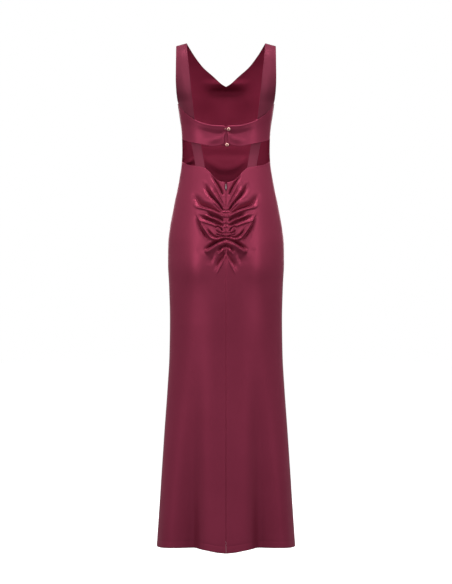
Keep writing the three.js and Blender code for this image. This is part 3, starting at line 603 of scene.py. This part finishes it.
def strap_grid(hand):
    outer, inner, band = by_z(STRAP_OUTER), by_z(STRAP_INNER), by_x(BAND_TOP)
    v = (steps(240, False, 2.4, False, ()) / 240)[:, None]
    v[1:6, 0] = [0.003, 0.008, 0.016, 0.026, 0.038]
    v = np.sort(v, axis=0)
    s = steps(1, False, 1 / 22, False, ())
    s = np.unique(np.concatenate([s, [0.012, 0.028, 0.05, 0.95, 0.972, 0.988]]))
    zo = -SHOULDER_DROP + (-197 + SHOULDER_DROP) * v
    zi = (-226.8 - LAP) * v
    xo, xi = outer(zo), inner(zi)
    x, z = xo + (xi - xo) * s, zo + (zi - zo) * s
    flat = surface("back", x, z, np.zeros(x.shape))
    from_out, from_in = run_of(flat, 1), run_of(flat[:, ::-1], 1)[:, ::-1]
    lift = -UNDER * (1 - smooth(-4, 2.5, z - band(x)))
    lift += turned(from_out, 1.3, 0.45) + turned(from_in, 1.3, 0.45)
    lift += 0.9 * np.exp(-(((s - 0.5) / 0.3) ** 2)) * smooth(0, -30, z)
    lift += 0.4 * wander(hand * x, z * 0.7, 46, 37)
    return surface("back", x, z, lift)


def lower_strap_grid(hand):
    middle = by_z(LOWER_STRAP)
    s = np.unique(np.concatenate([np.linspace(0, 1, 17), [0.015, 0.035, 0.965, 0.985]]))
    z = np.linspace(LOWER_STRAP_TOP, LOWER_STRAP_END, 46)[:, None] + 0 * s
    x = middle(z) + LOWER_STRAP_HALF * (1 - 2 * s)
    flat = surface("back", x, z, np.zeros(x.shape))
    from_out, from_in = run_of(flat, 1), run_of(flat[:, ::-1], 1)[:, ::-1]
    lift = -UNDER - 3.6 * np.clip((LOWER_STRAP_TOP - z) / (LOWER_STRAP_TOP - LOWER_STRAP_END), 0, 1)
    lift += turned(from_out, 1.2, 0.45) + turned(from_in, 1.2, 0.45)
    lift += 0.25 * wander(hand * x, z * 0.7, 30, 41)
    return surface("back", x, z, lift)


def stand_grid():
    top = by_x(BAND_TOP)
    s = np.linspace(0, 1, 25)
    w = np.linspace(0, 1, 42)[:, None]
    x = -13 + 25 * s + 0 * w
    hi, lo = top(np.abs(x)) - 3.5, STAND_BOTTOM
    z = hi + (lo - hi) * w
    lift = -UNDER + 0.9 * np.exp(-((x / 5) ** 2)) * np.sin(math.pi * w) + 0.25 * wander(x, z, 16, 43)
    lift += turned(run_of(surface("back", x, z, 0 * x), 1), 1, 0.3)
    return surface("back", x, z, lift)


def tape_grid():
    s = np.linspace(0, 1, 61)
    z = np.linspace(-411, -475, 150)[:, None] + 0 * s
    x = -10 + 20 * s + 0 * z
    teeth = 0.45 * (1 + np.sin(z * 2 * math.pi / 1.4)) * np.exp(-(((np.abs(x) - 1.2) / 0.7) ** 2))
    return surface("back", x, z, gathers(0.35 * x, z) - THIN - 1.3 - 0.09 * np.abs(x) - teeth * 0.4)


# ---- round pieces ----------------------------------------------------------------------------
def form_point(x, z, lift=0.0):
    return surface("back", np.array([float(x)]), np.array([float(z)]), np.array([float(lift)]))[0]


def lean_at(x, z):
    a, b = form_point(x, z + 5), form_point(x, z - 5)
    return math.atan2(b[1] - a[1], a[2] - b[2])


def seated(points, seat, angle):
    """Points given in a frame with +Y out of the cloth, set on the form."""
    c, s = math.cos(angle), math.sin(angle)
    p = np.asarray(points, float)
    return np.stack([p[:, 0], c * p[:, 1] - s * p[:, 2], s * p[:, 1] + c * p[:, 2]], 1) + seat


def lathe(profile, sides):
    points, faces = [], []
    for r, y in profile:
        for k in range(sides):
            a = 2 * math.pi * k / sides
            points.append((r * math.cos(a), y, r * math.sin(a)))
    for i in range(len(profile) - 1):
        for k in range(sides):
            a, b = i * sides + k, i * sides + (k + 1) % sides
            faces.append((a, b, b + sides, a + sides))
    faces.append(tuple(range(sides))[::-1])
    last = (len(profile) - 1) * sides
    faces.append(tuple(range(last, last + sides)))
    return np.array(points), faces


def button(name, x, z, lift, shank, materials):
    r = 5.1
    dome = [(r * math.cos(t), shank + 1.7 + 2.7 * math.sin(t)) for t in np.linspace(0.05, math.pi / 2 - 0.02, 22)]
    dome = [(a, b - 0.9 * (1 - (a / 3.0) ** 2) ** 2 if a < 3.0 else b) for a, b in dome]
    rim = [(r * 0.70, shank), (r * 0.86, shank + 0.15), (r * 0.955, shank + 0.5), (r * 0.995, shank + 1.05)]
    profile = [(1.4, 0), (1.45, shank * 0.3), (1.2, shank * 0.6), (1.5, shank - 0.1), *rim, *dome]
    points, faces = lathe(profile, 56)
    # the dish in the middle of the dome takes the second material, a darker gold that paints the dark reflection of a
    # polished dome's middle
    centre = [max(math.hypot(*points[v, ::2]) for v in f) < 2.75 and min(points[v, 1] for v in f) > shank + 2 for f in faces]
    points = seated(points, form_point(x, z, lift), lean_at(x, z))
    return mesh(name, points, faces, np.array(centre, int), materials)


def tube(name, path, radius, material, sides=10, steps_between=9):
    """A cord along a smooth path, with round ends."""
    n = len(path) - 1
    t = np.linspace(0, n, n * steps_between + 1)
    c = np.stack([Curve(range(n + 1), [p[k] for p in path])(t) for k in range(3)], 1)
    for _ in range(2):
        c[1:-1] = 0.25 * c[:-2] + 0.5 * c[1:-1] + 0.25 * c[2:]
    tangent = np.gradient(c, axis=0)
    tangent /= np.linalg.norm(tangent, axis=1, keepdims=True)
    up = np.array([0.0, 1.0, 0.3])
    points, faces = [], []
    for i in range(len(c)):
        side = np.cross(tangent[i], up)
        side /= np.linalg.norm(side)
        rise = np.cross(side, tangent[i])
        r = radius * (0.55 if i in (0, len(c) - 1) else 1.0)
        for k in range(sides):
            a = 2 * math.pi * k / sides
            points.append(c[i] + r * (math.cos(a) * side + math.sin(a) * rise))
    for i in range(len(c) - 1):
        for k in range(sides):
            a, b = i * sides + k, i * sides + (k + 1) % sides
            faces.append((a, b, b + sides, a + sides))
    faces.append(tuple(range(sides))[::-1])
    last = (len(c) - 1) * sides
    faces.append(tuple(range(last, last + sides)))
    return mesh(name, points, faces, np.zeros(len(faces)), [material])


def loop(name, x, z, start, lift, spread, rise, material):
    path = [
        (start, spread + rise), ((start + x) / 2, spread + 0.3 + rise / 3), (x, 2.9), (x - 2.1, 2.1), (x - 3, 0),
        (x - 2.1, -2.1), (x, -2.9), ((start + x) / 2, -spread - 0.3 + rise / 3), (start, -spread + rise),
    ]
    return tube(name, [form_point(a, z + b, lift) for a, b in path], 0.62, material)


# ---- materials -------------------------------------------------------------------------------
def material(name, build):
    m = bpy.data.materials.new(name)
    m.use_nodes = True
    nodes, links = m.node_tree.nodes, m.node_tree.links
    shader = nodes["Principled BSDF"]
    build(nodes, links, shader)
    return m


def noise(nodes, links, vector, scale, detail=2.0, rough=0.5):
    n = nodes.new("ShaderNodeTexNoise")
    n.inputs["Scale"].default_value = scale
    n.inputs["Detail"].default_value = detail
    n.inputs["Roughness"].default_value = rough
    links.new(vector, n.inputs["Vector"])
    return n.outputs["Fac"]


def ramp(nodes, links, value, stops):
    r = nodes.new("ShaderNodeValToRGB")
    e = r.color_ramp.elements
    e[0].position, e[0].color = stops[0][0], (*stops[0][1], 1)
    e[1].position, e[1].color = stops[-1][0], (*stops[-1][1], 1)
    for at, colour in stops[1:-1]:
        e.new(at).color = (*colour, 1)
    links.new(value, r.inputs["Fac"])
    return r.outputs["Color"]


def spread(nodes, links, value, low, high):
    m = nodes.new("ShaderNodeMapRange")
    m.inputs["To Min"].default_value = low
    m.inputs["To Max"].default_value = high
    m.inputs["From Min"].default_value = 0.3
    m.inputs["From Max"].default_value = 0.7
    links.new(value, m.inputs["Value"])
    return m.outputs["Result"]


def satin(name, light, dark, rough, specular, sheen, lustre):
    def build(nodes, links, shader):
        place = nodes.new("ShaderNodeTexCoord")
        here = place.outputs["Object"]
        cloudy = noise(nodes, links, here, 9.0, 3.0)
        links.new(ramp(nodes, links, cloudy, [(0.3, dark), (0.7, light)]), shader.inputs["Base Color"])
        links.new(spread(nodes, links, noise(nodes, links, here, 26.0, 4.0), rough - 0.035, rough + 0.035),
                  shader.inputs["Roughness"])
        shader.inputs["Specular IOR Level"].default_value = specular
        shader.inputs["Specular Tint"].default_value = (0.9, 0.38, 0.5, 1)
        shader.inputs["Sheen Weight"].default_value = sheen
        shader.inputs["Sheen Roughness"].default_value = 0.45
        shader.inputs["Metallic"].default_value = lustre  # coloured shine of the floats
        shader.inputs["Sheen Tint"].default_value = (0.95, 0.55, 0.66, 1)
        # long floats of the weave, a third of a millimetre apart, and slight unevenness of the cloth
        uv = nodes.new("ShaderNodeUVMap")
        uv.uv_map = "cloth"
        stretch = nodes.new("ShaderNodeMapping")
        stretch.inputs["Scale"].default_value = (3000, 420, 1)
        links.new(uv.outputs["UV"], stretch.inputs["Vector"])
        floats = noise(nodes, links, stretch.outputs["Vector"], 1.0, 1.0)
        slow = noise(nodes, links, here, 55.0, 3.0, 0.55)
        both = nodes.new("ShaderNodeMath")
        both.operation = "MULTIPLY_ADD"
        both.inputs[1].default_value = 6.0
        links.new(slow, both.inputs[0])
        links.new(floats, both.inputs[2])
        bump = nodes.new("ShaderNodeBump")
        bump.inputs["Strength"].default_value = 0.35
        bump.inputs["Distance"].default_value = 0.00009
        links.new(both.outputs["Value"], bump.inputs["Height"])
        links.new(bump.outputs["Normal"], shader.inputs["Normal"])

    return material(name, build)


def metal(name, colour, rough, wear, pure=1.0):
    def build(nodes, links, shader):
        place = nodes.new("ShaderNodeTexCoord")
        here = place.outputs["Object"]
        n = noise(nodes, links, here, 900.0, 3.0)
        darker = tuple(v * 0.86 for v in colour)
        links.new(ramp(nodes, links, n, [(0.35, darker), (0.65, colour)]), shader.inputs["Base Color"])
        links.new(spread(nodes, links, noise(nodes, links, here, 2600.0, 2.0), rough, rough + wear),
                  shader.inputs["Roughness"])
        shader.inputs["Metallic"].default_value = pure
        bump = nodes.new("ShaderNodeBump")
        bump.inputs["Strength"].default_value = 0.15
        bump.inputs["Distance"].default_value = 0.00004
        links.new(noise(nodes, links, here, 1500.0, 2.0), bump.inputs["Height"])
        links.new(bump.outputs["Normal"], shader.inputs["Normal"])

    return material(name, build)


def tape_material():
    def build(nodes, links, shader):
        place = nodes.new("ShaderNodeTexCoord")
        rib = nodes.new("ShaderNodeTexWave")
        rib.inputs["Scale"].default_value = 900
        links.new(place.outputs["Object"], rib.inputs["Vector"])
        links.new(ramp(nodes, links, rib.outputs["Fac"], [(0.2, (0.045, 0.008, 0.016)), (0.8, (0.075, 0.014, 0.028))]),
                  shader.inputs["Base Color"])
        shader.inputs["Roughness"].default_value = 0.85
        shader.inputs["Specular IOR Level"].default_value = 0.1
        bump = nodes.new("ShaderNodeBump")
        bump.inputs["Strength"].default_value = 0.4
        bump.inputs["Distance"].default_value = 0.0001
        links.new(rib.outputs["Fac"], bump.inputs["Height"])
        links.new(bump.outputs["Normal"], shader.inputs["Normal"])

    return material("zip_tape_cloth", build)


FACE = satin("satin_face", (0.270, 0.035, 0.074), (0.252, 0.032, 0.068), 0.42, 0.08, 0.0, 0.38)
# satin of the straps: its base colour is darker than the face satin's to paint shade on the straps; its higher
# roughness and weaker shine are those of cloth cut across the grain
STRAP_SATIN_PAINTED_SHADE = satin("satin_straps_painted_shade", (0.200, 0.033, 0.061), (0.186, 0.030, 0.056), 0.46, 0.08, 0.0, 0.24)
REVERSE = satin("satin_reverse", (0.230, 0.020, 0.050), (0.214, 0.018, 0.045), 0.62, 0.07, 0.0, 0.0)
GOLD = metal("pale_gold", (0.96, 0.56, 0.48), 0.24, 0.08, 0.55)
# darker gold for the middle of each button: painted dark reflection, not a second alloy
GOLD_PAINTED_DARK_MIDDLE = metal("gold_painted_dark_reflection", (0.42, 0.15, 0.13), 0.35, 0.08, 0.6)
STEEL = metal("zip_steel", (0.72, 0.58, 0.6), 0.3, 0.1)
COATED = metal("zip_coated", (0.17, 0.035, 0.06), 0.4, 0.1, 0.3)
TAPE = tape_material()

# ---- the dress -------------------------------------------------------------------------------
pieces = {}


def centre_seam(p):
    return np.abs(p[:, 0]) <= SEAM / 2 + notch(p[:, 2]) + 0.01


for hand, word in ((1, "left"), (-1, "right")):
    turn = (lambda g: g) if hand > 0 else mirrored
    pieces[f"skirt_back_{word}"] = cloth(
        f"satin_skirt_back_{word}", [turn(skirt_grid(hand))], THIN, [FACE, REVERSE], centre_seam
    )
    pieces[f"back_band_{word}"] = cloth(f"satin_band_{word}", [turn(band_grid(hand))], DOUBLE, [FACE, REVERSE])
    pieces[f"shoulder_strap_{word}"] = cloth(f"satin_strap_{word}", [turn(strap_grid(hand))], DOUBLE, [STRAP_SATIN_PAINTED_SHADE, REVERSE])
    pieces[f"lower_strap_{word}"] = cloth(
        f"satin_lower_strap_{word}", [turn(lower_strap_grid(hand))], DOUBLE, [STRAP_SATIN_PAINTED_SHADE, REVERSE]
    )
pieces["front"] = cloth("satin_front", [front_grid(1), mirrored(front_grid(-1))], THIN, [FACE, REVERSE])
pieces["button_stand"] = cloth("satin_button_stand", [stand_grid()], THIN, [FACE, REVERSE])
pieces["zip_tape"] = cloth("woven_zip_tape", [tape_grid()], 0.5, [TAPE, TAPE])

UPPER, LOWER = (-7.4, -254.2), (-2.9, -299)
pieces["button_upper"] = button("gold_button_upper", *UPPER, 0.3, 2.2, [GOLD, GOLD_PAINTED_DARK_MIDDLE])
pieces["button_lower"] = button("gold_button_lower", *LOWER, 0.35 - UNDER, 2.2 + UNDER, [GOLD, GOLD_PAINTED_DARK_MIDDLE])
pieces["loop_upper"] = loop("satin_loop_upper", *UPPER, 3.4, 1.25, 2.6, 0, FACE)
pieces["loop_lower"] = loop("satin_loop_lower", *LOWER, 8.6, 1.25, 1.9, 5.2, FACE)
bead_points, bead_faces = lathe([(1.3 * math.sin(t), -1.3 * math.cos(t)) for t in np.linspace(0.06, math.pi - 0.06, 18)], 28)
pieces["loop_bead"] = mesh(
    "gold_loop_bead", bead_points + form_point(3, UPPER[1], 1.7), bead_faces, np.zeros(len(bead_faces)), [GOLD]
)

# the pull: a drop-shaped tab with an eye, its edges rounded
SLIDER_Z = -417
seat_a, seat_b = form_point(0, SLIDER_Z + 6), form_point(0, SLIDER_Z - 10)
SLIDER_SEAT = form_point(0, SLIDER_Z)
SLIDER_LEAN = math.atan2(seat_b[1] - seat_a[1], seat_a[2] - seat_b[2])


def pull():
    wide, long, thick, bar, eye = 2.9, 13.6, 0.9, 0.9, 3.0
    r, top = wide / 2, bar / 2
    bottom = top - long
    outer = [(-1.15, top), (-1.15, top - 3.8), (-0.95, top - 5.6), (-r, bottom + r + 2.2)]
    outer += [(r * math.cos(a), bottom + r + r * math.sin(a)) for a in np.linspace(math.pi, 2 * math.pi, 20)]
    outer += [(r, bottom + r + 2.2), (0.95, top - 5.6), (1.15, top - 3.8), (1.15, top)]
    hole = [(-0.65, top - bar), (0.65, top - bar), (0.65, top - bar - eye + 0.6), (0.35, top - bar - eye),
            (-0.35, top - bar - eye), (-0.65, top - bar - eye + 0.6)]
    curve = bpy.data.curves.new("zip_pull_shape", "CURVE")
    curve.dimensions = "2D"
    curve.fill_mode = "BOTH"
    for loop_points in (outer, hole):
        s = curve.splines.new("POLY")
        s.points.add(len(loop_points) - 1)
        for q, (a, b) in zip(s.points, loop_points):
            q.co = (a, b, 0, 1)
        s.use_cyclic_u = True
    curve.extrude = thick / 2 - 0.2
    curve.bevel_depth = 0.2
    curve.offset = -0.2
    curve.bevel_resolution = 4
    o = bpy.data.objects.new("zip_pull_shape", curve)
    bpy.context.scene.collection.objects.link(o)
    bpy.context.view_layer.update()
    made = bpy.data.meshes.new_from_object(o.evaluated_get(bpy.context.evaluated_depsgraph_get()))
    points = np.array([v.co[:] for v in made.vertices])
    faces = [tuple(p.vertices) for p in made.polygons]
    bpy.data.objects.remove(o)
    bpy.data.curves.remove(curve)
    bpy.data.meshes.remove(made)
    hinge = np.array([0, 0.3 + 0.9 + 0.75, 1])
    flat = np.stack([points[:, 0], points[:, 2], points[:, 1]], 1) + hinge
    flat[:, 0] *= -1
    piece = mesh("steel_zip_pull", seated(flat, SLIDER_SEAT, SLIDER_LEAN), faces, np.zeros(len(faces)), [STEEL], smooth_shade=False)
    return piece


pieces["zip_pull"] = pull()

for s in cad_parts["zip_slider"].material_slots:
    s.material = COATED

for node, piece in pieces.items():
    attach(piece, "zip_pull" if node == "zip_pull" else "dress")
    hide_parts(node)

# ---- studio ----------------------------------------------------------------------------------
scene = bpy.context.scene
scene.view_settings.view_transform = "Standard"
scene.view_settings.look = "None"
scene.view_settings.exposure = 0.0
scene.view_settings.gamma = 1.0

world = bpy.data.worlds.new("studio")
scene.world = world
world.use_nodes = True
sky = world.node_tree.nodes["Background"]
sky.inputs["Strength"].default_value = 1.0
way = world.node_tree.nodes.new("ShaderNodeTexCoord")
split = world.node_tree.nodes.new("ShaderNodeSeparateXYZ")
world.node_tree.links.new(way.outputs["Generated"], split.inputs["Vector"])
level = world.node_tree.nodes.new("ShaderNodeMapRange")
level.inputs["From Min"].default_value = -1
world.node_tree.links.new(split.outputs["Z"], level.inputs["Value"])
glow = [(0.0, 0.01), (0.35, 0.01), (0.5, 0.62), (0.65, 0.7), (1.0, 0.03)]
bright = ramp(world.node_tree.nodes, world.node_tree.links, level.outputs["Result"], [(at, (v, v, v)) for at, v in glow])
world.node_tree.links.new(bright, sky.inputs["Color"])


def pale(name, glow, base):
    def build(nodes, links, shader):
        shader.inputs["Base Color"].default_value = (base, base, base, 1)
        shader.inputs["Roughness"].default_value = 0.9
        shader.inputs["Specular IOR Level"].default_value = 0.0
        shader.inputs["Emission Color"].default_value = (1, 1, 1, 1)
        shader.inputs["Emission Strength"].default_value = glow

    return material(name, build)


bpy.ops.mesh.primitive_circle_add(vertices=96, radius=24, fill_type="NGON", location=(0, 0, -1.62))
floor = bpy.context.object
floor.name = "floor"
floor.data.materials.append(pale("floor_paint", 0.75, 0.8))
bpy.ops.mesh.primitive_uv_sphere_add(segments=64, ring_count=32, radius=24.5, location=(0, 0, -1.62))
backdrop = bpy.context.object
backdrop.name = "backdrop"
backdrop.data.materials.append(pale("backdrop_paint", 1.0, 0.0))
for o in (floor, backdrop):
    o.visible_diffuse = False
    o.visible_glossy = False
backdrop.visible_shadow = False


def softbox(name, place, aim, wide, high, power, colour=(1, 1, 1)):
    light = bpy.data.lights.new(name, "AREA")
    light.shape = "RECTANGLE"
    light.size, light.size_y = wide, high
    light.energy = power
    light.color = colour
    o = bpy.data.objects.new(name, light)
    scene.collection.objects.link(o)
    o.location = place
    o.rotation_euler = (Vector(aim) - Vector(place)).to_track_quat("-Z", "Y").to_euler()
    return o


softbox("softbox_left", (1.08, 1.2, -0.4), (0, 0, -0.5), 0.5, 0.75, 4.8)
softbox("softbox_right", (-1.08, 1.2, -0.4), (0, 0, -0.5), 0.5, 0.75, 3.6)
softbox("softbox_high_left", (1.5, 1.6, 0.5), (0, 0, -0.5), 0.6, 0.6, 5.0)
softbox("softbox_high_right", (-1.5, 1.6, 0.5), (0, 0, -0.5), 0.6, 0.6, 5.0)
softbox("softbox_over", (0, 0.5, 1.3), (0, 0, -0.5), 1.6, 0.7, 29)
softbox("softbox_front_left", (0.9, -3.7, 0.4), (0, 0, -0.6), 1.1, 1.9, 26)
softbox("softbox_front_right", (-0.9, -3.7, 0.4), (0, 0, -0.6), 1.1, 1.9, 26)

cam = bpy.data.cameras.new("camera")
cam.sensor_width = 36
cam.lens = 36 * 7 / 1.6936
camera = bpy.data.objects.new("camera", cam)
scene.collection.objects.link(camera)
camera.location = (0, 7, -0.7215)
camera.rotation_euler = (math.pi / 2, 0, math.pi)
scene.camera = camera

bpy.context.view_layer.update()
